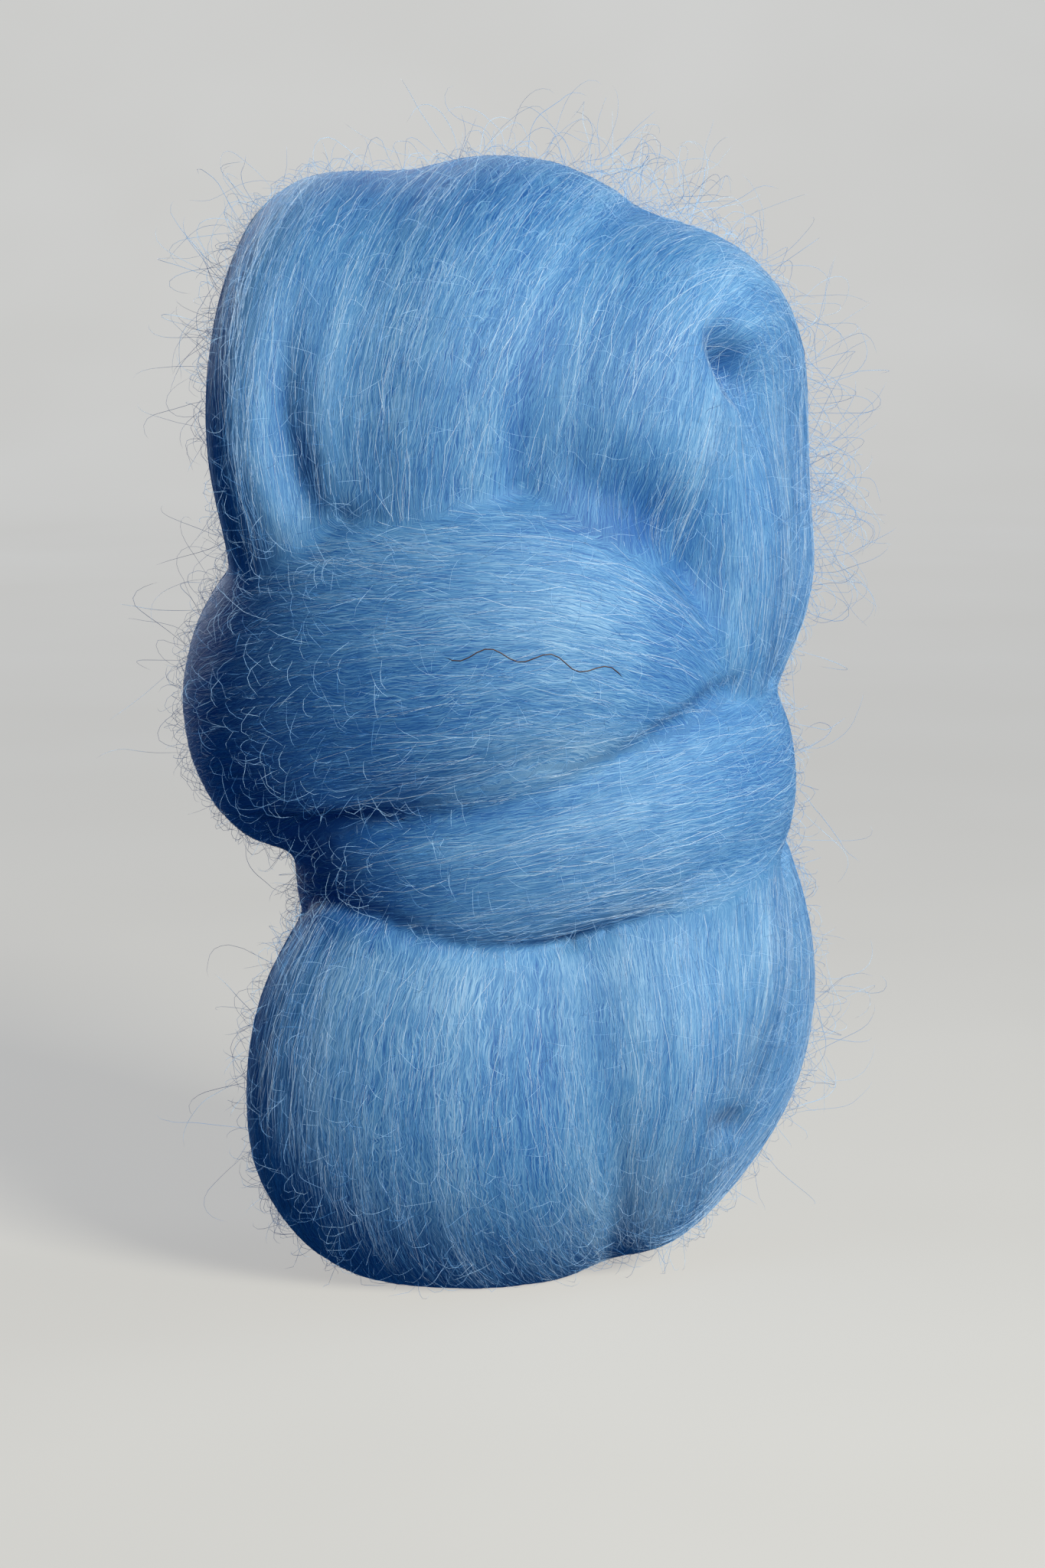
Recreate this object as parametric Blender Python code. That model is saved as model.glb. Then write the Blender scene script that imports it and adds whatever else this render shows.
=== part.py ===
"""A hank of combed wool top: one length of roving, folded back and forth and wrapped round its own waist.

The hank stands on its lower folds. X runs to the right of the front view, Y away from the viewer and Z up.
The origin is on the floor, at the middle of the hank's box. The tables are in millimetres and degrees.
"""

import math
from collections import namedtuple

import bmesh
import bpy
from mathutils import Matrix, Vector

MM = 0.001

# ---------------------------------------------------------------- driving dimensions

SIDES = 32  # points round a strand's section
SECTIONS_PER_ROW = 4  # sections that a table's smooth curve gets for each of its rows
WRAP_SECTIONS = 72
INSIDE_SECTIONS = 24
CUTTER_SIZE = 140.0  # the block below the floor that cuts the flat foot

WOOL_BLUE = (0.14, 0.30, 0.54, 1.0)
WOOL_ROUGHNESS = 0.85

# ---------------------------------------------------------------- the folds

# A fold is one bend of the roving. It leaves the waist in front, bellies out, turns over and comes back to the
# waist behind. Its rows follow the middle of the strand. wide is half its width across the fold, and thick is
# half its thickness. eye is the point that it turns round. The two rows that end beside an eye are where the
# right folds spread over their own ends.
Station = namedtuple("Station", "x y z wide thick")
Fold = namedtuple("Fold", "name eye stations")

FOLDS = (
    Fold("upper_left", (-17, 1, 90), (
        Station(-16, -7, 62, 8, 7),
        Station(-19, -8.5, 76, 9, 8),
        Station(-21.5, -13.5, 93, 10, 12),
        Station(-20, -11, 106, 11, 11.5),
        Station(-16, 1, 113, 13, 10.5),
        Station(-18, 13, 106, 11, 11.5),
        Station(-20, 14.5, 93, 10, 12),
        Station(-19, 11, 76, 9, 10),
        Station(-17, 8, 62, 8, 8),
    )),
    Fold("upper_middle", (-2, 1, 88), (
        Station(-4, -9, 62, 11, 8),
        Station(-6, -11, 76, 12.5, 11),
        Station(-7, -14.5, 93, 14.5, 13.5),
        Station(-4, -12, 106, 16, 13),
        Station(1, 1, 113, 17, 12),
        Station(-1, 14, 106, 17, 13),
        Station(-2, 17.7, 93, 16, 14),
        Station(-2, 12, 76, 14, 11),
        Station(-2, 9, 62, 12, 8),
    )),
    Fold("upper_right", (14, -1, 86), (
        Station(7, -9, 58, 9, 8),
        Station(9, -11, 74, 10, 10),
        Station(10, -15.5, 90, 13, 11.5),
        Station(12, -14, 101.5, 14, 11),
        Station(17, -6, 107.5, 14, 10.5),
        Station(22, 3, 102, 13, 11),
        Station(23, 5, 88, 12, 11.5),
        Station(24, 5, 76, 11, 11),
        Station(19, 4, 62, 8, 8),
    )),
    Fold("beside_upper_eye", (12, 0, 80), (
        Station(19, -5, 62, 8, 7),
        Station(21.5, -8, 72, 9.5, 8.5),
        Station(22, -9.5, 84, 9.5, 9),
        Station(21, -10, 94, 8, 7),
        Station(20, -9, 100, 5, 4),
    )),
    Fold("lower_left", (-5, 0, 32), (
        Station(-2, -9, 58, 12, 8),
        Station(-4, -12, 44, 15, 11),
        Station(-6.5, -14.5, 31, 20.5, 13.5),
        Station(-6.5, -12.5, 18, 22, 13.5),
        Station(-3.5, 0, 10.5, 22, 14),
        Station(-5.5, 12.5, 18, 22, 13.5),
        Station(-4.5, 14.5, 31, 21, 13.5),
        Station(-3, 12, 44, 17, 11),
        Station(-2, 9, 58, 12, 8),
    )),
    Fold("lower_right", (14, -1, 33), (
        Station(9, -8, 58, 9, 7),
        Station(12, -11, 44, 11, 9),
        Station(14, -14, 32, 12.5, 11),
        Station(13, -12, 21, 12, 11),
        Station(14, -2, 13.5, 11.5, 12),
        Station(22.5, 6, 21.5, 12, 11),
        Station(25, 7, 32, 11.5, 11),
        Station(23, 6, 44, 11, 10),
        Station(17, 5, 58, 9, 8),
    )),
    Fold("beside_lower_eye", (12, 0, 40), (
        Station(19, -4, 58, 8, 6),
        Station(22, -6, 47, 9, 8),
        Station(23, -7.5, 36, 9.5, 9),
        Station(22.5, -8, 27, 8, 7),
        Station(21, -7, 21, 5, 4),
    )),
)

# ---------------------------------------------------------------- the wrap round the waist

# The outer end is wrapped round the waist: over the front from the right, round the bulging left side and the
# back, over the front again below the first turn, and under itself behind.
# turn_deg: how far round, from the front towards the left. reach: from the hank's middle to the outside.
Turn = namedtuple("Turn", "turn_deg reach z wide thick")

WRAP = (
    Turn(-86, 22, 59, 4, 4),
    Turn(-68, 26, 62, 6, 4.5),
    Turn(-52, 29, 66, 9, 5.5),
    Turn(-34, 30.5, 70.5, 12.5, 6.5),
    Turn(-8, 31.5, 74, 15, 7),
    Turn(22, 32, 72.5, 16.5, 8),
    Turn(45, 33, 71, 18, 9),
    Turn(68, 34.5, 67, 17.5, 11),
    Turn(90, 35.5, 64.5, 16.5, 12),
    Turn(120, 33.5, 63, 14.5, 10),
    Turn(150, 30, 64, 14, 7),
    Turn(180, 29, 66, 13, 6),
    Turn(210, 29, 64, 12, 6),
    Turn(240, 31, 60, 12, 6),
    Turn(270, 33, 56, 12, 6),
    Turn(300, 32, 55.5, 11.5, 6),
    Turn(330, 30.5, 54, 11, 6),
    Turn(360, 28.5, 51, 10.5, 5),
    Turn(390, 27, 48, 10, 5),
    Turn(415, 25, 46, 9, 5),
    Turn(450, 22.5, 45, 8, 5),
    Turn(500, 21, 46, 7, 4),
    Turn(540, 18, 48, 4, 3),
)

# ---------------------------------------------------------------- the inside of the hank

# Height and half-sizes across and back to front of the layers that the folds and the wrap lie on.
Layer = namedtuple("Layer", "z x y across deep")

INSIDE = (
    Layer(4, -2, 0, 10, 8),
    Layer(12, -1, 0, 20, 14),
    Layer(24, 0, 0, 25, 21),
    Layer(36, 2, 0, 22, 21),
    Layer(48, 2, 0, 19, 19),
    Layer(64, 0, 0, 25, 22),
    Layer(78, 1, 0, 23, 21),
    Layer(92, 1, 1, 22, 20),
    Layer(104, -1, 1, 19, 15),
    Layer(114, -4, 1, 11, 8),
)


def through(rows, share):
    """All the columns of a table at a share of its length, on a smooth curve through its rows."""
    place = share * (len(rows) - 1)
    i = min(int(place), len(rows) - 2)
    t = place - i
    last = len(rows) - 1
    a, b, c, d = (rows[min(max(k, 0), last)] for k in range(i - 1, i + 3))
    curve = []
    for p, q, r, s in zip(a, b, c, d):
        bend = 2 * p - 5 * q + 4 * r - s
        curl = 3 * q - p - 3 * r + s
        curve.append(q + ((r - p) * t + bend * t * t + curl * t ** 3) / 2)
    return curve


def strand(name, sections):
    """A closed strand through its sections: (centre, outward, half-width, half-thickness) in millimetres."""
    bm = bmesh.new()
    centres = [section[0] for section in sections]
    last = len(sections) - 1
    before = []
    for i, (centre, outward, wide, thick) in enumerate(sections):
        ahead = (centres[min(i + 1, last)] - centres[max(i - 1, 0)]).normalized()
        side = ahead.cross(outward).normalized()
        lift = side.cross(ahead)
        place = Matrix((side * wide, lift * thick, ahead)).transposed().to_4x4()
        place.translation = centre
        ring = bmesh.ops.create_circle(
            bm, segments=SIDES, radius=1.0, cap_ends=i in (0, last), matrix=Matrix.Scale(MM, 4) @ place
        )
        edges = list({edge for vert in ring["verts"] for edge in vert.link_edges})
        if before:
            bmesh.ops.bridge_loops(bm, edges=before + edges)
        before = edges
    bmesh.ops.recalc_face_normals(bm, faces=bm.faces)
    return link(name, bm)


def link(name, bm):
    mesh = bpy.data.meshes.new(name)
    bm.to_mesh(mesh)
    bm.free()
    made = bpy.data.objects.new(name, mesh)
    bpy.context.scene.collection.objects.link(made)
    return made


def fold(row):
    """One bend of the roving, from its front foot round the turn to its back foot."""
    eye = Vector(row.eye)
    count = SECTIONS_PER_ROW * (len(row.stations) - 1)
    sections = []
    for i in range(count + 1):
        x, y, z, wide, thick = through(row.stations, i / count)
        centre = Vector((x, y, z))
        sections.append((centre, centre - eye, wide, thick))
    return strand(row.name, sections)


def wrap():
    """Nearly two turns of the roving round the waist."""
    count = WRAP_SECTIONS
    sections = []
    for i in range(count + 1):
        turn_deg, reach, z, wide, thick = through(WRAP, i / count)
        turn = math.radians(turn_deg)
        outward = Vector((-math.sin(turn), -math.cos(turn), 0))
        sections.append((outward * (reach - thick) + Vector((0, 0, z)), outward, wide, thick))
    return strand("wrap", sections)


def inside():
    """The layers that the folds and the wrap lie on, as one upright form."""
    count = INSIDE_SECTIONS
    front = Vector((0, -1, 0))
    sections = []
    for i in range(count + 1):
        z, x, y, across, deep = through(INSIDE, i / count)
        sections.append((Vector((x, y, z)), front, across, deep))
    return strand("roving_hank", sections)


def below_floor():
    bm = bmesh.new()
    bmesh.ops.create_cube(bm, size=CUTTER_SIZE * MM)
    bmesh.ops.translate(bm, vec=Vector((0, 0, -CUTTER_SIZE / 2)) * MM, verts=bm.verts)
    return link("below_floor", bm)


def combine(target, other, operation):
    """Join another shape to the target, or cut it away, and leave that shape out of the build."""
    other.hide_render = True
    other.display_type = "WIRE"
    boolean = target.modifiers.new(other.name, "BOOLEAN")
    boolean.operation = operation
    boolean.solver = "EXACT"
    boolean.use_self = operation == "UNION"
    boolean.object = other


def dyed_wool():
    material = bpy.data.materials.new("dyed_wool")
    material.use_nodes = True
    shader = material.node_tree.nodes["Principled BSDF"]
    shader.inputs["Base Color"].default_value = WOOL_BLUE
    shader.inputs["Roughness"].default_value = WOOL_ROUGHNESS
    shader.inputs["Metallic"].default_value = 0.0
    return material


def main():
    for old in list(bpy.data.objects):
        bpy.data.objects.remove(old)
    hank = inside()
    hank.data.materials.append(dyed_wool())
    hank.data.shade_smooth()
    for row in FOLDS:
        combine(hank, fold(row), "UNION")
    combine(hank, wrap(), "UNION")
    combine(hank, below_floor(), "DIFFERENCE")


main()
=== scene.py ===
import math
from collections import namedtuple

import bmesh
import bpy
import numpy as np
from mathutils import Matrix, Vector, kdtree, noise


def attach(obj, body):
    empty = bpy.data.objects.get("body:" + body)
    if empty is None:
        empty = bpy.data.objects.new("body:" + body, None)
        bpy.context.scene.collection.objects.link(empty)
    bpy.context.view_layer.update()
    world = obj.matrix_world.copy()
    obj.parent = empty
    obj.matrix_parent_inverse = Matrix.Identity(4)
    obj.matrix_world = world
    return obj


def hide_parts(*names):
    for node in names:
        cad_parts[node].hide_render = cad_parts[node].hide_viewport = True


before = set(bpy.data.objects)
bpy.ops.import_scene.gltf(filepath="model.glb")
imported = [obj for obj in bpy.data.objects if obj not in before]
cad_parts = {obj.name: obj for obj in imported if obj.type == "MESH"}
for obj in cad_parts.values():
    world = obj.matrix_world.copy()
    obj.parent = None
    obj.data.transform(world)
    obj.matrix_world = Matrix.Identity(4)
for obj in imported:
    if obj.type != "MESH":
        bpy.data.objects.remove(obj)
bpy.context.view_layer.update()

# ---------------------------------------------------------------- the table it stands on, lamps and camera
# The hank stands on a plain pale table that turns up into a backdrop. A broad lamp on the right in front
# leaves the left of the wrap in shade. The paleness of table and room throws no light on the wool, and only
# a dim blue comes from the room, so the shade stays deep. The lamp behind the hank spares the table.

MM = 0.001
scene = bpy.context.scene
scene.view_settings.view_transform = "Standard"
middle = Vector((0.0024, 0.0, 0.055))  # what the camera and the lamps aim at, in m

VIEW_RISE = math.radians(8)
VIEW_DISTANCE = 0.488  # m
LENS = 100  # mm
SENSOR_WIDTH = 36  # mm
camera_data = bpy.data.cameras.new("camera")
camera_data.lens = LENS
camera_data.sensor_width = SENSOR_WIDTH
camera = bpy.data.objects.new("camera", camera_data)
camera.location = middle + Vector((0, -math.cos(VIEW_RISE), math.sin(VIEW_RISE))) * VIEW_DISTANCE
camera.rotation_euler = (math.pi / 2 - VIEW_RISE, 0, 0)
scene.collection.objects.link(camera)
scene.camera = camera

world = bpy.data.worlds.new("studio")
world.use_nodes = True
room = world.node_tree
room_light = room.nodes["Background"]
room_light.inputs["Color"].default_value = (0.08, 0.42, 1.0, 1.0)
room_light.inputs["Strength"].default_value = 0.20
room_look = room.nodes.new("ShaderNodeBackground")
room_look.inputs["Color"].default_value = (0.44, 0.45, 0.46, 1.0)
seen = room.nodes.new("ShaderNodeLightPath")
either = room.nodes.new("ShaderNodeMixShader")
room.links.new(seen.outputs["Is Camera Ray"], either.inputs[0])
room.links.new(room_light.outputs[0], either.inputs[1])
room.links.new(room_look.outputs[0], either.inputs[2])
room.links.new(either.outputs[0], room.nodes["World Output"].inputs["Surface"])
scene.world = world

Lamp = namedtuple("Lamp", "name place aim size power spread_deg colour")
for lamp in (
    Lamp("key_lamp", (0.44, -0.60, 0.42), middle, 0.24, 3.0, 90, (1.0, 0.96, 0.84)),
    Lamp("side_lamp", (0.62, 0.22, 0.30), middle, 0.40, 0.40, 90, (0.95, 0.98, 1.0)),
    Lamp("back_lamp", (-0.25, 0.75, 0.34), middle, 0.50, 2.6, 120, (0.95, 0.98, 1.0)),
    Lamp("backdrop_lamp", (0.0, 0.55, 1.25), (0.0, 1.45, 0.35), 0.60, 5.0, 110, (1.0, 1.0, 1.0)),
):
    light = bpy.data.lights.new(lamp.name, "AREA")
    light.size = lamp.size
    light.energy = lamp.power
    light.spread = math.radians(lamp.spread_deg)
    light.color = lamp.colour
    lamp_object = bpy.data.objects.new(lamp.name, light)
    lamp_object.location = lamp.place
    lamp_object.rotation_euler = (Vector(lamp.aim) - Vector(lamp.place)).to_track_quat("-Z", "Y").to_euler()
    scene.collection.objects.link(lamp_object)


def linked(name, mesh):
    """A new object of the scene with this mesh."""
    made = bpy.data.objects.new(name, mesh)
    scene.collection.objects.link(made)
    return made


class Socket:
    """A shader socket that Python's own operators work on, each adding its Math node."""

    def __init__(self, tree, out):
        self.tree = tree
        self.out = out

    def node(self, kind, settings=None, values=None, out=0):
        """A new node with these settings and input values, as the socket of one of its outputs.

        Among the settings, stops are the places and colours of a colour ramp.
        """
        made = self.tree.nodes.new(kind)
        for key, value in (settings or {}).items():
            if key == "stops":
                for i, (place, colour) in enumerate(value):
                    stop = made.color_ramp.elements[i] if i < 2 else made.color_ramp.elements.new(place)
                    stop.position = place
                    stop.color = colour
            else:
                setattr(made, key, value)
        for key, value in (values or {}).items():
            if isinstance(value, Socket):
                self.tree.links.new(value.out, made.inputs[key])
            else:
                made.inputs[key].default_value = value
        return Socket(self.tree, made.outputs[out])

    def output(self, name):
        """Another output of the node that this socket comes from."""
        return Socket(self.tree, self.out.node.outputs[name])

    def math(self, operation, first, second=None):
        """A Math node's result for one or two sockets or numbers."""
        values = {0: first} if second is None else {0: first, 1: second}
        return self.node("ShaderNodeMath", {"operation": operation}, values)

    def __add__(self, other):
        return self.math("ADD", self, other)

    def __sub__(self, other):
        return self.math("SUBTRACT", self, other)

    def __rsub__(self, other):
        return self.math("SUBTRACT", other, self)

    def __mul__(self, other):
        return self.math("MULTIPLY", self, other)

    __radd__ = __add__
    __rmul__ = __mul__


def principled(name, **constants):
    """A material, a start for its sockets, and a way to link what varies into its Principled shader."""
    material = bpy.data.materials.new(name)
    material.use_nodes = True
    tree = material.node_tree
    shader = tree.nodes["Principled BSDF"]
    for key, value in constants.items():
        shader.inputs[key.replace("_", " ")].default_value = value
    return material, Socket(tree, None), shader


table_material, start, shader = principled(
    "pale_table",
    Roughness=0.9,
    Specular_IOR_Level=0.0,
    Emission_Color=(0.47, 0.46, 0.44, 1.0),
    Emission_Strength=1.0,
)
places = start.node("ShaderNodeTexCoord", out="Object")
grain = start.node("ShaderNodeTexNoise", None, {"Vector": places, "Scale": 9.0})
stops = ((0.3, (0.17, 0.17, 0.16, 1)), (0.7, (0.20, 0.20, 0.19, 1)))
colour = start.node("ShaderNodeValToRGB", {"stops": stops}, {"Fac": grain})
start.tree.links.new(colour.out, shader.inputs["Base Color"])

TABLE_SIZE = 4.0  # m
SWEEP_START = 1.0  # m behind the hank, where the table turns up into the backdrop
SWEEP_RADIUS = 0.5  # m
SWEEP_STEPS = 24
bm = bmesh.new()
bmesh.ops.create_grid(bm, x_segments=1, y_segments=1, size=TABLE_SIZE / 2)
bmesh.ops.translate(bm, vec=(0, SWEEP_START - TABLE_SIZE / 2, 0), verts=bm.verts)
back = max(bm.edges, key=lambda edge: sum(vert.co.y for vert in edge.verts))
bmesh.ops.spin(
    bm,
    geom=[back] + list(back.verts),
    cent=(0, SWEEP_START, SWEEP_RADIUS),
    axis=(1, 0, 0),
    angle=math.pi / 2,
    steps=SWEEP_STEPS,
)
top = max(bm.edges, key=lambda edge: sum(vert.co.z for vert in edge.verts))
raised = bmesh.ops.extrude_edge_only(bm, edges=[top])
raised_verts = [item for item in raised["geom"] if isinstance(item, bmesh.types.BMVert)]
bmesh.ops.translate(bm, vec=(0, 0, TABLE_SIZE / 2), verts=raised_verts)
bmesh.ops.recalc_face_normals(bm, faces=bm.faces)
table_mesh = bpy.data.meshes.new("table")
bm.to_mesh(table_mesh)
bm.free()
table_mesh.materials.append(table_material)
table_mesh.shade_smooth()
table = linked("table", table_mesh)
table.visible_diffuse = False
table.visible_glossy = False
spared = bpy.data.collections.new("spared_by_back_lamp")
spared.objects.link(table)
spared.collection_objects[0].light_linking.link_state = "EXCLUDE"
bpy.data.objects["back_lamp"].light_linking.receiver_collection = spared

# ---------------------------------------------------------------- the wound body
# One length of combed, dyed wool top, folded back and forth into upright loops and wrapped round its own
# waist. The turns are laid as strands through the tables below, in millimetres, and grown together softly,
# as wool does where turns press on each other. Furrows and locks of fibres run along them.

HANK = "roving_hank"
Station = namedtuple("Station", "x y z wide thick")
Fold = namedtuple("Fold", "eye stations")
FOLDS = (
    Fold((-17, 1, 90), (  # upper left
        Station(-16, -7, 62, 8, 7),
        Station(-19, -8.5, 76, 9, 8),
        Station(-21.5, -13.5, 93, 10, 12),
        Station(-20, -11, 106, 11, 11.5),
        Station(-16, 1, 113, 13, 10.5),
        Station(-18, 13, 106, 11, 11.5),
        Station(-20, 14.5, 93, 10, 12),
        Station(-19, 11, 76, 9, 10),
        Station(-17, 8, 62, 8, 8),
    )),
    Fold((-2, 1, 88), (  # upper middle
        Station(-4, -9, 62, 11, 8),
        Station(-6, -11, 76, 12.5, 11),
        Station(-7, -14.5, 93, 14.5, 13.5),
        Station(-4, -12, 106, 16, 13),
        Station(1, 1, 113, 17, 12),
        Station(-1, 14, 106, 17, 13),
        Station(-2, 17.7, 93, 16, 14),
        Station(-2, 12, 76, 14, 11),
        Station(-2, 9, 62, 12, 8),
    )),
    Fold((14, -1, 86), (  # upper right
        Station(7, -9, 58, 9, 8),
        Station(9, -11, 74, 10, 10),
        Station(10, -15.5, 90, 13, 11.5),
        Station(12, -14, 101.5, 14, 11),
        Station(17, -6, 107.5, 14, 10.5),
        Station(22, 3, 102, 13, 11),
        Station(23, 5, 88, 12, 11.5),
        Station(24, 5, 76, 11, 11),
        Station(19, 4, 62, 8, 8),
    )),
    Fold((12, 0, 80), (  # where the upper right one spreads beside its eye
        Station(19, -5, 62, 8, 7),
        Station(21.5, -8, 72, 9.5, 8.5),
        Station(22, -9.5, 84, 9.5, 9),
        Station(21, -10, 94, 8, 7),
        Station(20, -9, 100, 5, 4),
    )),
    Fold((-5, 0, 32), (  # lower left
        Station(-2, -9, 58, 12, 8),
        Station(-4, -12, 44, 15, 11),
        Station(-6.5, -14.5, 31, 20.5, 13.5),
        Station(-6.5, -12.5, 18, 22, 13.5),
        Station(-3.5, 0, 10.5, 22, 14),
        Station(-5.5, 12.5, 18, 22, 13.5),
        Station(-4.5, 14.5, 31, 21, 13.5),
        Station(-3, 12, 44, 17, 11),
        Station(-2, 9, 58, 12, 8),
    )),
    Fold((14, -1, 33), (  # lower right
        Station(9, -8, 58, 9, 7),
        Station(12, -11, 44, 11, 9),
        Station(14, -14, 32, 12.5, 11),
        Station(13, -12, 21, 12, 11),
        Station(14, -2, 13.5, 11.5, 12),
        Station(22.5, 6, 21.5, 12, 11),
        Station(25, 7, 32, 11.5, 11),
        Station(23, 6, 44, 11, 10),
        Station(17, 5, 58, 9, 8),
    )),
    Fold((12, 0, 40), (  # where the lower right one spreads beside its eye
        Station(19, -4, 58, 8, 6),
        Station(22, -6, 47, 9, 8),
        Station(23, -7.5, 36, 9.5, 9),
        Station(22.5, -8, 27, 8, 7),
        Station(21, -7, 21, 5, 4),
    )),
)

Turn = namedtuple("Turn", "turn_deg reach z wide thick")
WRAP = (
    Turn(-86, 22, 59, 4, 4),
    Turn(-68, 26, 62, 6, 4.5),
    Turn(-52, 29, 66, 9, 5.5),
    Turn(-34, 30.5, 70.5, 12.5, 6.5),
    Turn(-8, 31.5, 74, 15, 7),
    Turn(22, 32, 72.5, 16.5, 8),
    Turn(45, 33, 71, 18, 9),
    Turn(68, 34.5, 67, 17.5, 11),
    Turn(90, 35.5, 64.5, 16.5, 12),
    Turn(120, 33.5, 63, 14.5, 10),
    Turn(150, 30, 64, 14, 7),
    Turn(180, 29, 66, 13, 6),
    Turn(210, 29, 64, 12, 6),
    Turn(240, 31, 60, 12, 6),
    Turn(270, 33, 56, 12, 6),
    Turn(300, 32, 55.5, 11.5, 6),
    Turn(330, 30.5, 54, 11, 6),
    Turn(360, 28.5, 51, 10.5, 5),
    Turn(390, 27, 48, 10, 5),
    Turn(415, 25, 46, 9, 5),
    Turn(450, 22.5, 45, 8, 5),
    Turn(500, 21, 46, 7, 4),
    Turn(540, 18, 48, 4, 3),
)

Layer = namedtuple("Layer", "z x y across deep")
INSIDE = (
    Layer(4, -2, 0, 10, 8),
    Layer(12, -1, 0, 20, 14),
    Layer(24, 0, 0, 25, 21),
    Layer(36, 2, 0, 22, 21),
    Layer(48, 2, 0, 19, 19),
    Layer(64, 0, 0, 25, 22),
    Layer(78, 1, 0, 23, 21),
    Layer(92, 1, 1, 22, 20),
    Layer(104, -1, 1, 19, 15),
    Layer(114, -4, 1, 11, 8),
)

STRAND_STEP = 1.5  # mm between the sections of a strand
STRAND_SIDES = 56


def unit(vectors):
    """The vectors at a length of one."""
    return vectors / np.maximum(np.linalg.norm(vectors, axis=-1, keepdims=True), 1e-9)


def through(rows, share):
    """All the columns of a table at a share of its length, on a smooth curve through its rows."""
    place = share * (len(rows) - 1)
    i = min(int(place), len(rows) - 2)
    t = place - i
    last = len(rows) - 1
    a, b, c, d = (np.array(rows[min(max(k, 0), last)], float) for k in range(i - 1, i + 3))
    return b + ((c - a) * t + (2 * a - 5 * b + 4 * c - d) * t * t + (3 * b - a - 3 * c + d) * t ** 3) / 2


class Strand:
    """A turn of the roving as sections: their centres, side, lift and ahead ways, and half-sizes."""

    def __init__(self, centres, outwards, wide, thick):
        self.centre = np.array(centres)
        self.ahead = unit(np.gradient(self.centre, axis=0))
        self.side = unit(np.cross(self.ahead, np.array(outwards)))
        self.lift = np.cross(self.side, self.ahead)
        self.wide = np.array(wide)
        self.thick = np.array(thick)
        steps = np.linalg.norm(np.diff(self.centre, axis=0), axis=1)
        self.length = np.concatenate(([0.0], np.cumsum(steps)))

    def skin(self, i, sine, cosine):
        """Points of the skin at section i, by the sine and cosine of their turn from its outermost line."""
        across = self.side[i] * self.wide[i] * sine[:, None]
        return self.centre[i] + across + self.lift[i] * self.thick[i] * cosine[:, None]


def fold_strand(fold):
    """A fold's strand, its outermost line turned away from the eye of the fold."""
    spans = np.diff(np.array([row[:3] for row in fold.stations]), axis=0)
    count = round(np.linalg.norm(spans, axis=1).sum() / STRAND_STEP)
    rows = [through(fold.stations, i / count) for i in range(count + 1)]
    centres = [row[:3] for row in rows]
    outwards = [row[:3] - np.array(fold.eye) for row in rows]
    return Strand(centres, outwards, [row[3] for row in rows], [row[4] for row in rows])


def wrap_strand():
    """The wrap's strand, nearly two turns round the waist."""
    turned = math.radians(WRAP[-1].turn_deg - WRAP[0].turn_deg)
    count = round(turned * max(turn.reach for turn in WRAP) / STRAND_STEP)
    rows = [through(WRAP, i / count) for i in range(count + 1)]
    angles = [math.radians(row[0]) for row in rows]
    outwards = [np.array((-math.sin(angle), -math.cos(angle), 0)) for angle in angles]
    centres = [out * (row[1] - row[4]) + np.array((0, 0, row[2])) for out, row in zip(outwards, rows)]
    return Strand(centres, outwards, [row[3] for row in rows], [row[4] for row in rows])


def inside_strand():
    """An upright strand that fills what the turns hide."""
    count = round((INSIDE[-1].z - INSIDE[0].z) / STRAND_STEP)
    rows = [through(INSIDE, i / count) for i in range(count + 1)]
    centres = [(row[1], row[2], row[0]) for row in rows]
    outwards = [(0.0, -1.0, 0.0) for row in rows]
    return Strand(centres, outwards, [row[3] for row in rows], [row[4] for row in rows])


strands = [fold_strand(fold) for fold in FOLDS] + [wrap_strand()]
WRAPPED = len(FOLDS)  # the wrap's number among the strands

bm = bmesh.new()
for strand in strands + [inside_strand()]:
    before = []
    last = len(strand.centre) - 1
    for i in range(last + 1):
        ways = (strand.side[i] * strand.wide[i], strand.lift[i] * strand.thick[i], strand.ahead[i])
        place = Matrix(ways).transposed().to_4x4()
        place.translation = Vector(strand.centre[i])
        ring = bmesh.ops.create_circle(
            bm,
            segments=STRAND_SIDES,
            radius=1.0,
            cap_ends=i in (0, last),
            matrix=Matrix.Scale(MM, 4) @ place,
        )
        edges = list({edge for vert in ring["verts"] for edge in vert.link_edges})
        if before:
            bmesh.ops.bridge_loops(bm, edges=before + edges)
        before = edges
bmesh.ops.recalc_face_normals(bm, faces=bm.faces)
turns_mesh = bpy.data.meshes.new("turns")
bm.to_mesh(turns_mesh)
bm.free()
turns = linked("turns", turns_mesh)

BODY_VOXEL = 0.75  # mm
grow = turns.modifiers.new("grow_together", "REMESH")
grow.mode = "VOXEL"
grow.voxel_size = BODY_VOXEL * MM
bpy.context.view_layer.update()
body_mesh = bpy.data.meshes.new_from_object(turns.evaluated_get(bpy.context.evaluated_depsgraph_get()))
bpy.data.objects.remove(turns)
bpy.data.meshes.remove(turns_mesh)
body_mesh.name = "wound_body"


def numbers(items, key, width, kind=float):
    """One property of all the items of a mesh, as rows of numbers."""
    values = np.empty(len(items) * width, kind)
    items.foreach_get(key, values)
    return values.reshape(-1, width)


one, two = numbers(body_mesh.edges, "vertices", 2, int).T  # the corners at the ends of each edge
CORNERS = len(body_mesh.vertices)
edges_at = np.bincount(one, minlength=CORNERS) + np.bincount(two, minlength=CORNERS)


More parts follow.
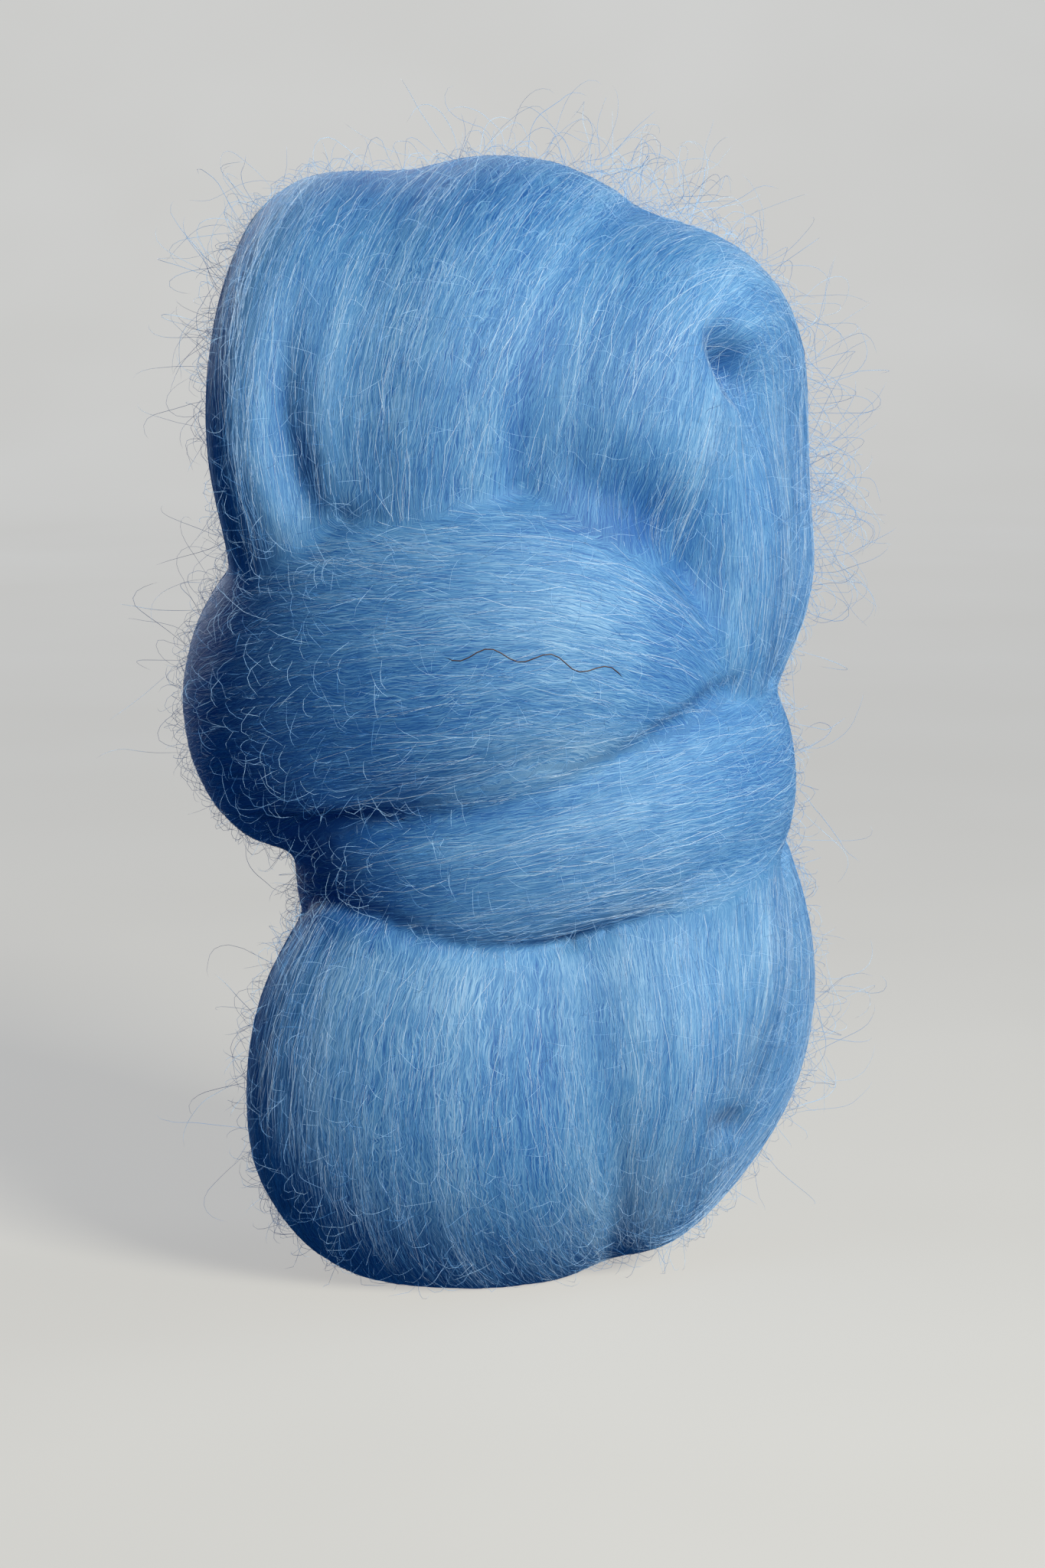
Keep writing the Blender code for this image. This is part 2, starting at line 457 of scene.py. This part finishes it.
def evened(values, rounds):
    """Values at the body's corners, evened out along its edges that many times."""
    for _ in range(rounds):
        total = values.copy()
        for column in range(values.shape[1]):
            total[:, column] += np.bincount(one, values[two, column], CORNERS)
            total[:, column] += np.bincount(two, values[one, column], CORNERS)
        values = total / (edges_at + 1)[:, None]
    return values


def body_normals():
    """Put the skin into the body's mesh and read the normals at its corners."""
    body_mesh.vertices.foreach_set("co", (skin * MM).ravel())
    body_mesh.update()
    return numbers(body_mesh.vertices, "normal", 3)


SECTION_REACH = 1.5 * STRAND_STEP  # how far ahead of a section a point may lie and still be tried there
AHEAD_COST = 0.35  # how much a millimetre ahead of a section counts beside one off the strand's skin


def on_strands(points):
    """For each strand: the points' misfits to its skin, their places along and round it, the fibres' ways."""
    fits = []
    for strand in strands:
        misfit = np.full(len(points), np.inf)
        place = np.zeros((len(points), 2))
        way = np.zeros((len(points), 3))
        last = len(strand.centre) - 1
        for i in range(last + 1):
            away = points - strand.centre[i]
            ahead = away @ strand.ahead[i]
            close = np.nonzero(np.abs(ahead) < SECTION_REACH)[0]
            sine = away[close] @ strand.side[i] / strand.wide[i]
            cosine = away[close] @ strand.lift[i] / strand.thick[i]
            radius = np.maximum(np.hypot(sine, cosine), 1e-6)
            ahead = ahead[close]
            miss = np.abs(radius - 1) * min(strand.wide[i], strand.thick[i])
            miss += AHEAD_COST * np.abs(ahead)
            better = miss < misfit[close]
            chosen = close[better]
            sine = (sine / radius)[better]
            cosine = (cosine / radius)[better]
            misfit[chosen] = miss[better]
            place[chosen, 0] = strand.length[i] + ahead[better]
            place[chosen, 1] = np.arctan2(sine, cosine)
            way[chosen] = strand.skin(min(i + 1, last), sine, cosine)
            way[chosen] -= strand.skin(max(i - 1, 0), sine, cosine)
        fits.append((misfit, place, unit(way)))
    return fits


# skin holds the body's corners in mm. which is the strand that each lies on, and place how far along that
# strand and how far round it in radians.
skin = evened(numbers(body_mesh.vertices, "co", 3) / MM, 4)
fits = on_strands(skin)
which = np.argmin([fit[0] for fit in fits], axis=0)
every = np.arange(CORNERS)
place = np.array([fit[1] for fit in fits])[which, every]
way = np.array([fit[2] for fit in fits])[which, every]

# The folds lean on each other and close up. Only where the wrap lies on them do the creases stay sharp, but
# for its lower edge on the right in front, where the foot swells up against it.
CLOSING_ROUNDS = 14
CLOSING_SPREAD = 50  # rounds of evening out that the creases rise towards
CLOSING_PACE = 1.5
SOFTENING = 30  # rounds of evening out that the closed creases end with
SWELL_RIGHT_OF = 12  # mm
SWELL_BELOW = 54  # mm


def fade(past, width):
    """From 0 at a border up to 1 a width past it."""
    return np.clip(past / width, 0, 1)


wrapped = (which == WRAPPED).astype(float)[:, None]
on_wrap = evened(wrapped, 24)[:, 0]
swell = fade(skin[:, 0] - SWELL_RIGHT_OF, 10) * fade(SWELL_BELOW - skin[:, 2], 6) * fade(-skin[:, 1], 8)
closing = np.clip(1.0 - 3.0 * on_wrap * (1 - swell), 0, 1)
for _ in range(CLOSING_ROUNDS):
    normal = body_normals()
    rise = ((evened(skin, CLOSING_SPREAD) - skin) * normal).sum(1)
    skin = skin + normal * (np.maximum(rise, 0) * closing * CLOSING_PACE)[:, None]
skin = skin + (evened(skin, SOFTENING) - skin) * closing[:, None]
skin = evened(skin, 2)

# In front some of the creases are pressed in again as furrows. left and right are a furrow's widths on either
# side of its way, in mm.
Furrow = namedtuple("Furrow", "x z depth left right")
FURROWS = (
    (  # beside the upper left fold
        Furrow(-21.0, 113, 0.1, 2.2, 2.2),
        Furrow(-22.2, 107, 1.0, 2.2, 2.2),
        Furrow(-23.0, 101, 2.1, 2.2, 2.3),
        Furrow(-22.7, 95, 3.0, 2.2, 2.4),
        Furrow(-21.6, 90, 2.6, 2.2, 2.4),
        Furrow(-20.0, 86, 0.8, 2.0, 2.2),
    ),
    (  # a faint one between the upper middle and right folds
        Furrow(2.4, 103, 0.0, 2.2, 1.0),
        Furrow(1.7, 96, 0.6, 2.4, 1.0),
        Furrow(1.0, 91, 0.7, 2.4, 1.0),
        Furrow(0.8, 88, 0.2, 2.4, 1.0),
    ),
    (  # the hollow over the wrap
        Furrow(2.0, 92.0, 0.3, 5.0, 1.8),
        Furrow(9.0, 90.0, 1.5, 6.0, 1.8),
        Furrow(15.0, 86.5, 2.2, 6.0, 1.8),
        Furrow(20.0, 81.5, 1.8, 5.0, 1.8),
        Furrow(23.5, 76.5, 0.6, 4.0, 1.6),
    ),
    (  # the groove in the foot
        Furrow(12.2, 26, 0.0, 1.4, 1.4),
        Furrow(13.0, 14, 0.8, 1.4, 1.4),
        Furrow(12.6, 3, 1.0, 1.6, 1.6),
    ),
    (  # the upper eye
        Furrow(22.6, 107.0, 0.8, 1.6, 1.4),
        Furrow(24.6, 103.8, 4.4, 1.9, 1.6),
        Furrow(26.0, 101.0, 4.8, 1.8, 1.6),
        Furrow(27.3, 98, 1.8, 1.5, 1.4),
        Furrow(28.2, 94, 0.3, 1.4, 1.4),
    ),
    (  # where the wrap's second turn comes out from under the first
        Furrow(23.5, 67.5, 1.2, 2.6, 0.9),
        Furrow(17.0, 63.5, 1.8, 3.0, 0.9),
        Furrow(10.0, 60.2, 2.1, 3.2, 0.9),
        Furrow(1.0, 57.2, 2.1, 3.2, 0.9),
        Furrow(-8.0, 55.2, 2.0, 3.0, 0.9),
        Furrow(-17.0, 53.8, 1.8, 2.6, 1.0),
        Furrow(-25.0, 52.5, 0.9, 2.2, 1.2),
    ),
    (  # the lower eye
        Furrow(23.8, 20.5, 0.4, 1.2, 1.2),
        Furrow(25.2, 18.6, 1.6, 1.5, 1.5),
        Furrow(26.6, 16.8, 0.8, 1.2, 1.2),
    ),
)
FURROW_STEPS = 40
normal = body_normals()
facing = fade(-normal[:, 1], 0.5)  # furrows fade out where the skin turns away from the front
sunk = np.zeros(CORNERS)
for furrow in FURROWS:
    rows = np.array([through(furrow, share) for share in np.linspace(0, 1, FURROW_STEPS)])
    gaps = []
    for row, (way_x, way_z) in zip(rows, np.gradient(rows[:, :2], axis=0)):
        from_x = skin[:, 0] - row[0]
        from_z = skin[:, 2] - row[1]
        width = np.where(way_x * from_z > way_z * from_x, row[3], row[4])
        gaps.append(np.hypot(from_x, from_z) / width)
    depth = rows[np.argmin(gaps, axis=0), 2] * np.exp(-np.min(gaps, axis=0) ** 2)
    sunk += depth * facing

# The wrap presses into the folds along its lower edge.
PRESS_DEPTH = 0.9  # mm
PRESSED_BELOW = 60  # mm
edge = evened(wrapped, 4)[:, 0]
pressed = 4 * edge * (1 - edge) * fade(PRESSED_BELOW - skin[:, 2], 6) * (1 - swell)
sunk += PRESS_DEPTH * pressed
skin = evened(skin - normal * sunk[:, None], 2)
normal = body_normals()
flow = evened(way, 6)
flow = unit(flow - normal * (flow * normal).sum(1, keepdims=True))

# Locks of fibres run along each strand, some raised and paler and some lower and darker. They fade out at the
# borders between strands, and painted shade darkens the wool down in its furrows.
ROUND = 14.0  # mm round a strand for each radian of its turn
LOCK_RISE = 0.22  # mm
# Painted shade in the furrows: how much darker the tone gets
FURROW_PAINTED_SHADE = 0.27  # for each mm of depth
Lock = namedtuple("Lock", "long wide offset share")
LOCKS = (Lock(45, 4.0, 0.0, 0.8), Lock(30, 1.4, 3.5, 0.35))  # long and wide in mm
STRANDS_APART = 7.0  # in the noise, so that no two strands have the same locks
lock = np.zeros(CORNERS)
for kind in LOCKS:
    for i, (number, (along, turn)) in enumerate(zip(which, place)):
        spot = (along / kind.long, turn * ROUND / kind.wide, STRANDS_APART * number + kind.offset)
        lock[i] += kind.share * noise.noise(Vector(spot))
border = np.zeros(CORNERS)
border[one[which[one] != which[two]]] = 1
border = np.clip(2.5 * evened(border[:, None], 3)[:, 0], 0, 1)
lock = evened((lock * (1 - border))[:, None], 2)[:, 0] * (1 - 0.4 * on_wrap)
skin = skin + normal * (LOCK_RISE * lock)[:, None]
skin[:, 2] = np.maximum(skin[:, 2], 0.0)
normal = body_normals()
# Painted shade: the tone gets darker by the depth of the furrows and of the wrap's pressed lower edge.
lock = lock - FURROW_PAINTED_SHADE * sunk


def in_patch(x, z, across, high):
    """How much each corner lies in a patch, from 1 at its middle down to 0 well outside it."""
    return np.exp(-(((skin[:, 0] - x) / across) ** 2 + ((skin[:, 2] - z) / high) ** 2))


# Patches of painted shade make the wool deeper in colour, most of all in the shade on the left of the wrap,
# and a few with a negative amount are painted light and make it paler.
ShadePatch = namedtuple("ShadePatch", "x z across high deeper")
for shade_patch in (
    ShadePatch(-21, 61, 17, 15, 1.2),
    ShadePatch(-19, 46, 10, 7, 1.2),
    ShadePatch(19, 74, 5, 7, 0.8),
    ShadePatch(11, 86, 11, 4, 0.7),
    ShadePatch(-4, 121, 14, 5, 0.8),
    ShadePatch(13, 117, 6, 5, 0.4),
    ShadePatch(4, 109, 4, 7, 0.5),
    ShadePatch(1, 99, 3, 7, 0.5),
    ShadePatch(15, 104, 6, 8, 0.4),
    ShadePatch(28, 58, 7, 6, 0.6),
    ShadePatch(-5, 23, 10, 8, 0.45),
    ShadePatch(-5, 5, 16, 8, 0.35),
    ShadePatch(-14, 38, 12, 4, -0.5),
    ShadePatch(8, 38, 8, 4, -0.3),
    ShadePatch(26, 38, 7, 6, -0.4),
    ShadePatch(8, 74, 7, 7, -0.3),
    ShadePatch(7, 60, 9, 4, -0.6),
    ShadePatch(-6, 53, 8, 4, -0.5),
    ShadePatch(12, 9, 8, 7, -0.5),
    ShadePatch(20, 95, 5, 5, -0.4),
):
    lock = lock - shade_patch.deeper * in_patch(shade_patch.x, shade_patch.z, shade_patch.across, shade_patch.high)
for key, values in (("lock", lock), ("border", border)):
    body_mesh.attributes.new(key, "FLOAT", "POINT").data.foreach_set("value", values)

# The map runs along and round each strand, in mm. Each face takes the map of one strand only, so that no face
# spans the edge between two maps.
MAPS_APART = (37.0, 113.0)  # mm
corner = numbers(body_mesh.loops, "vertex_index", 1, int)[:, 0]
first = numbers(body_mesh.polygons, "loop_start", 1, int)[:, 0]
size = numbers(body_mesh.polygons, "loop_total", 1, int)[:, 0]
face_strand = np.repeat(which[corner[first]], size)
flow_map = np.array([fit[1] for fit in fits])[face_strand, corner]
from_first = flow_map[:, 1] - np.repeat(flow_map[first, 1], size)
flow_map[:, 1] -= 2 * math.pi * np.round(from_first / (2 * math.pi))
flow_map = flow_map * (1.0, ROUND) + face_strand[:, None] * MAPS_APART
body_mesh.uv_layers.new(name="flow").data.foreach_set("uv", flow_map.ravel())
body_mesh.shade_smooth()

wool, start, shader = principled("dyed_wool", Roughness=0.7, Specular_IOR_Level=0.5)
flow_uv = start.node("ShaderNodeUVMap", {"uv_map": "flow"})
drift = start.node("ShaderNodeTexNoise", {"noise_dimensions": "2D"}, {"Vector": flow_uv, "Scale": 0.16})
along = start.node("ShaderNodeSeparateXYZ", None, {"Vector": flow_uv})
around = along.output("Y") + drift * 2.0


def streaks(long_mm, wide_mm, slant_deg):
    """Noise drawn out along the fibres, or at a slant to them."""
    slant = math.radians(slant_deg)
    run = along * math.cos(slant) + around * math.sin(slant)
    rise = around * math.cos(slant) - along * math.sin(slant)
    vector = start.node("ShaderNodeCombineXYZ", None, {0: run * (1 / long_mm), 1: rise * (1 / wide_mm)})
    values = {"Vector": vector, "Scale": 1.0, "Detail": 2.0, "Roughness": 0.6}
    return start.node("ShaderNodeTexNoise", {"noise_dimensions": "2D"}, values)


hairs = start.math("MAXIMUM", streaks(5.0, 0.12, 0), streaks(3.5, 0.11, 8))
hairs = start.math("MAXIMUM", hairs, streaks(3.5, 0.11, -9))
# This attribute carries the locks' own tone, painted shade in the furrows and patches of painted shade and
# painted light.
lock_and_shade_tone = start.node("ShaderNodeAttribute", {"attribute_name": "lock"}, out="Fac")
border_tone = start.node("ShaderNodeAttribute", {"attribute_name": "border"}, out="Fac")
HAIRS_MIDDLE = 0.58
HAIR_CONTRAST = 2.3
LOCK_AND_SHADE_CONTRAST = 0.32
tone = 0.5 + (hairs - HAIRS_MIDDLE) * (HAIR_CONTRAST - border_tone) + lock_and_shade_tone * LOCK_AND_SHADE_CONTRAST
BODY_STOPS = (
    (0.10, (0.003, 0.072, 0.260, 1)),
    (0.50, (0.052, 0.187, 0.380, 1)),
    (0.90, (0.190, 0.350, 0.525, 1)),
)
colour = start.node("ShaderNodeValToRGB", {"stops": BODY_STOPS}, {"Fac": tone})
start.tree.links.new(colour.out, shader.inputs["Base Color"])
bump = start.node("ShaderNodeBump", None, {"Height": hairs, "Strength": 0.5, "Distance": 0.10 * MM})
start.tree.links.new(bump.out, shader.inputs["Normal"])

body_mesh.materials.clear()
body_mesh.materials.append(wool)
body = linked("wound_body", body_mesh)
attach(body, "root")
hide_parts(HANK)

# ---------------------------------------------------------------- the combed fibres
# Fine wool fibres lie on the body along its strands, slightly crimped and crossing a little. Each is a thin
# closed strand with pointed ends. They come in a long and a short coat, each of three pieces: on the foot, on
# the waist and on the upper folds.

finder = kdtree.KDTree(len(skin))
for i, point in enumerate(skin):
    finder.insert(point, i)
finder.balance()


def nearest_corners(points):
    """The body's corner nearest to each point."""
    return np.fromiter((finder.find(point)[1] for point in points), int, len(points))


TURNING = 0.2  # how much a fibre turns at each step to the way of the wool there
DIVE = -0.8  # mm, the height of a fibre where another turn lies on its own
NEXT_TURN = 40  # mm along the wrap, beyond which it is another turn
CRIMP_WAVES = (4.5, 8.0)  # mm
ROLL = 0.35  # how much fibres are turned round their own lines


def combed(starts, steps, step, heights, spread_deg, crimp, random):
    """Points of fibres that lie on the body and their up ways, as fibre x step x 3, in mm.

    Where one turn of the roving ends at another, its fibres go on below that one.
    """
    count = len(starts)
    points = np.empty((count, steps, 3))
    ups = np.empty((count, steps, 3))
    here = skin[starts] + random.normal(0, BODY_VOXEL / 2, (count, 3))
    heading = flow[starts] * random.choice((-1, 1), (count, 1))
    angle = np.radians(random.normal(0, spread_deg, (count, 1)))
    heading = heading * np.cos(angle) + np.cross(normal[starts], heading) * np.sin(angle)
    phase = random.uniform(0, 2 * math.pi, count)
    wave = random.uniform(*CRIMP_WAVES, count)
    size = random.uniform(0.2, 1.0, count) * crimp
    roll = random.normal(0, ROLL, (count, 1))
    for j in range(steps):
        found = nearest_corners(here)
        up = normal[found]
        here = here - up * ((here - skin[found]) * up).sum(1, keepdims=True)
        local = flow[found] * np.sign((flow[found] * heading).sum(1, keepdims=True))
        heading = heading * (1 - TURNING) + local * TURNING
        heading = unit(heading - up * (heading * up).sum(1, keepdims=True))
        side = np.cross(up, heading)
        sway = size * np.sin(2 * math.pi * j * step / wave + phase)
        other = (which[found] == WRAPPED) != (which[starts] == WRAPPED)
        other |= (which[found] == WRAPPED) & (np.abs(place[found, 0] - place[starts, 0]) > NEXT_TURN)
        height = np.where(other, DIVE, heights[:, j])
        points[:, j] = here + up * height[:, None] + side * sway[:, None]
        ups[:, j] = up + side * roll
        here = here + heading * step
    return points, ups


FIBRE_FLOOR = 0.1  # mm


def fibre_mesh(name, points, ups, radius, tone):
    """Closed three-sided strands through the points, one side up.

    The mesh's UV map holds the place along each strand and the strand's tone.
    """
    count, steps, _ = points.shape
    points = np.concatenate((points[:, :, :2], np.maximum(points[:, :, 2:], FIBRE_FLOOR)), axis=2)
    ahead = unit(np.gradient(points, axis=1))
    side = unit(np.cross(ahead, ups))
    lift = np.cross(side, ahead)
    rings = []
    for turn in (math.radians(30), math.radians(150), math.radians(270)):
        ring = points + (side * math.cos(turn) + lift * math.sin(turn)) * radius[:, :, None]
        rings.append(ring[:, 1:-1])
    rings = np.stack(rings, axis=2).reshape(count, -1, 3)
    verts = np.concatenate((points[:, :1], rings, points[:, -1:]), axis=1)
    each = verts.shape[1]
    last = each - 4
    triangles = []
    for k, n in ((0, 1), (1, 2), (2, 0)):
        triangles += [(0, 1 + n, 1 + k), (each - 1, last + k, last + n)]
        for a in range(1, last, 3):
            triangles += [(a + k, a + n, a + 3 + n), (a + k, a + 3 + n, a + 3 + k)]
    faces = (np.array(triangles) + (np.arange(count) * each)[:, None, None]).reshape(-1, 3)
    mesh = bpy.data.meshes.new(name)
    mesh.vertices.add(count * each)
    mesh.vertices.foreach_set("co", (verts * MM).ravel())
    mesh.loops.add(faces.size)
    mesh.loops.foreach_set("vertex_index", faces.ravel())
    mesh.polygons.add(len(faces))
    mesh.polygons.foreach_set("loop_start", np.arange(len(faces)) * 3)
    mesh.update(calc_edges=True)
    share = np.concatenate(([0.0], np.repeat(np.arange(1, steps - 1), 3) / (steps - 1), [1.0]))
    tones = np.stack((np.tile(share, count), np.repeat(tone, each)), axis=1)
    mesh.uv_layers.new(name="fibre").data.foreach_set("uv", tones[faces.ravel()].ravel())
    return mesh


def fibre_material(name, stops, **constants):
    """Dyed wool fibre whose tone comes from its UV map."""
    material, start, shader = principled(name, **constants)
    fibre_uv = start.node("ShaderNodeUVMap", {"uv_map": "fibre"})
    parts = start.node("ShaderNodeSeparateXYZ", None, {"Vector": fibre_uv})
    ramp = start.node("ShaderNodeValToRGB", {"stops": stops}, {"Fac": parts.output("Y")})
    start.tree.links.new(ramp.out, shader.inputs["Base Color"])
    return material


def place_fibres(name, mesh, material):
    """A coat of fibres. Light passes through such fine wool, so it throws no shadow."""
    mesh.materials.append(material)
    fibres = linked(name, mesh)
    fibres.visible_shadow = False
    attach(fibres, "root")
    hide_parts(HANK)


COMBED_STOPS = (
    (0.0, (0.008, 0.105, 0.320, 1)),
    (0.35, (0.060, 0.220, 0.460, 1)),
    (1.0, (0.530, 0.640, 0.730, 1)),
)
combed_wool = fibre_material("combed_fibre", COMBED_STOPS, Roughness=0.65, Specular_IOR_Level=0.6)

Coat = namedtuple("Coat", "name fibres points step spread_deg crimp thick tone")
COATS = (
    Coat("long_fibres", 12800, 7, 2.8, 5.0, 0.30, 0.032, 0.35),
    Coat("short_fibres", 16800, 4, 2.0, 12.0, 0.16, 0.036, 0.23),
)
LEVELS = (("foot", -1, 42), ("waist", 42, 85), ("upper", 85, 200))  # from and up to a height in mm
random = np.random.default_rng(7)
for coat in COATS:
    starts = random.integers(0, CORNERS, coat.fibres)
    bow = np.sin(math.pi * np.linspace(0, 1, coat.points))
    heights = -0.03 + bow ** 0.5 * random.uniform(0.03, 0.11, (coat.fibres, 1))
    points, ups = combed(starts, coat.points, coat.step, heights, coat.spread_deg, coat.crimp, random)
    radius = random.uniform(0.5, 1.0, (coat.fibres, 1)) * coat.thick * (0.3 + 0.7 * bow)
    # The fibres take the tone of the body beneath them, its painted shade and painted light included.
    tone = coat.tone + 0.30 * lock[starts] + random.gamma(1.1, 0.19, coat.fibres)
    tone = np.clip(tone, 0, 0.85)
    height = points[:, coat.points // 2, 2]
    for level, low, high in LEVELS:
        chosen = (height > low) & (height <= high)
        name = level + "_" + coat.name
        mesh = fibre_mesh(name, points[chosen], ups[chosen], radius[chosen], tone[chosen])
        place_fibres(name, mesh, combed_wool)

# ---------------------------------------------------------------- the stray fibres
# Short fibres curl out of the surface in every direction, most of them on the left of the wrap, and longer
# loose ones stand off the hank all round as a thin halo. They look paler than the body, since light comes
# through them. Last comes one brown fibre.

STRAY_STOPS = ((0.0, (0.06, 0.22, 0.50, 1)), (1.0, (0.36, 0.57, 0.80, 1)))
stray_wool = fibre_material("stray_fibre", STRAY_STOPS, Roughness=0.5, Specular_IOR_Level=0.3)

ROOT_DEPTH = 0.2  # mm below the skin
PUSHED_DOWN = 0.8  # how strongly fibres over their heights are turned back
PUSHED_UP = 0.5  # how strongly those less than TOO_LOW over the skin are turned away from it
TOO_LOW = 0.1  # mm
BEND_KEPT = 0.7  # from step to step
BEND_ADDED = 0.5
AXIS_DRIFT = 0.25
TILTED = (0.31, 0.52, 0.79)  # a way that hardly any fibre runs along
Stray = namedtuple("Stray", "name points step lift curl thick")


def wandering(kind, starts, high, random):
    """Points of loose fibres that leave the body, curl about and turn back at their heights over it."""
    count = len(starts)
    points = np.empty((count, kind.points, 3))
    here = skin[starts] - normal[starts] * ROOT_DEPTH
    heading = unit(normal[starts] * kind.lift + random.normal(0, 1, (count, 3)))
    axis = unit(random.normal(0, 1, (count, 3)))
    bend = random.laplace(0, kind.curl, (count, 1))
    for j in range(kind.points):
        points[:, j] = here
        found = nearest_corners(here)
        up = normal[found]
        height = ((here - skin[found]) * up).sum(1, keepdims=True)
        push = np.clip((high - height) / high, -1, 0) * PUSHED_DOWN
        push += np.where(height < TOO_LOW, PUSHED_UP, 0.0)
        bend = bend * BEND_KEPT + random.laplace(0, kind.curl, (count, 1)) * BEND_ADDED
        axis = unit(axis + random.normal(0, AXIS_DRIFT, (count, 3)))
        heading = unit(heading + np.cross(axis, heading) * bend * kind.step + up * push * kind.step)
        here = here + heading * kind.step
    return points


def loose_fibres(kind, starts, high, random):
    """A piece of loose fibres with pointed ends."""
    count = len(starts)
    points = wandering(kind, starts, high, random)
    taper = 0.4 + 0.6 * np.sin(math.pi * np.linspace(0, 1, kind.points))
    radius = random.uniform(0.6, 1.0, (count, 1)) * kind.thick * taper
    ups = np.broadcast_to(TILTED, points.shape)
    mesh = fibre_mesh(kind.name, points, ups, radius, random.random(count))
    place_fibres(kind.name, mesh, stray_wool)


FUZZ = 4600
front = skin[:, 1] < 0
left_of_wrap = in_patch(-18, 60, 16, 18) * front
beside_wrap = 4 * on_wrap * (1 - on_wrap)
in_eye = in_patch(26, 101, 5, 6) * front
off_floor = np.where(skin[:, 2] > 3, 1, 0.2)
weight = (0.4 + 0.4 * left_of_wrap + 0.3 * beside_wrap + 0.8 * in_eye) * off_floor
starts = random.choice(CORNERS, FUZZ, p=weight / weight.sum())
highs = random.uniform(0.15, 0.9, (FUZZ, 1))
loose_fibres(Stray("surface_fuzz", 7, 1.0, 0.3, 0.16, 0.024), starts, highs, random)

WISPS = 1500
starts = random.integers(0, CORNERS, WISPS)
highs = random.uniform(0.4, 2.2, (WISPS, 1))
loose_fibres(Stray("wisps", 8, 0.75, 0.25, 0.35, 0.022), starts, highs, random)

# More of them stand on the top and the sides, where hands have rubbed them up.
RUBBED_UP = 850
weight = np.hypot(normal[:, 0], np.maximum(normal[:, 2], 0)) ** 3
rubbing = np.random.default_rng(8)
starts = rubbing.choice(CORNERS, RUBBED_UP, p=weight / weight.sum())
highs = rubbing.uniform(0.5, 1.8, (RUBBED_UP, 1))
loose_fibres(Stray("rubbed_up_fibres", 8, 0.6, 0.5, 0.4, 0.024), starts, highs, rubbing)

# The halo stands in tufts. Their places and spreads are in mm.
Tuft = namedtuple("Tuft", "x y z spread fibres")
TUFTS = (
    Tuft(12, -4, 119, 5, 75),
    Tuft(20, 0, 114, 5, 60),
    Tuft(-2, 0, 125, 7, 20),
    Tuft(-26, 0, 112, 5, 55),
    Tuft(-31, 0, 97, 5, 55),
    Tuft(-30, 0, 84, 5, 20),
    Tuft(36, 0, 89, 4, 85),
    Tuft(35, 0, 80, 4, 30),
    Tuft(34, 0, 104, 5, 20),
    Tuft(-35, 0, 66, 6, 15),
    Tuft(34, 0, 58, 5, 12),
    Tuft(35, 0, 26, 6, 35),
    Tuft(-28, 0, 28, 7, 20),
    Tuft(0, 32, 105, 14, 40),
    Tuft(0, 32, 30, 14, 40),
)
starts = []
for tuft in TUFTS:
    starts.append(nearest_corners(np.array(tuft[:3]) + random.normal(0, tuft.spread, (tuft.fibres, 3))))
starts = np.concatenate(starts)
highs = random.uniform(1.5, 7.0, (len(starts), 1))
loose_fibres(Stray("halo", 15, 0.9, 0.8, 0.26, 0.026), starts, highs, random)

# One brown fibre lies across the front of the wrap.
BROWN_POINTS = 24
BROWN_STEP = 0.85  # mm
BROWN_RISE = 0.45  # mm over the skin
BROWN_RADIUS = 0.08  # mm
BROWN_START = (14.0, -30.0, 70.3)  # mm
brown_wool, start, shader = principled("brown_fibre", Base_Color=(0.07, 0.03, 0.02, 1.0), Roughness=0.5)
starts = nearest_corners(np.array((BROWN_START,)))
rises = np.full((1, BROWN_POINTS), BROWN_RISE)
radius = np.full((1, BROWN_POINTS), BROWN_RADIUS)
points, ups = combed(starts, BROWN_POINTS, BROWN_STEP, rises, 2.0, 1.0, random)
place_fibres("brown_fibre", fibre_mesh("brown_fibre", points, ups, radius, np.zeros(1)), brown_wool)
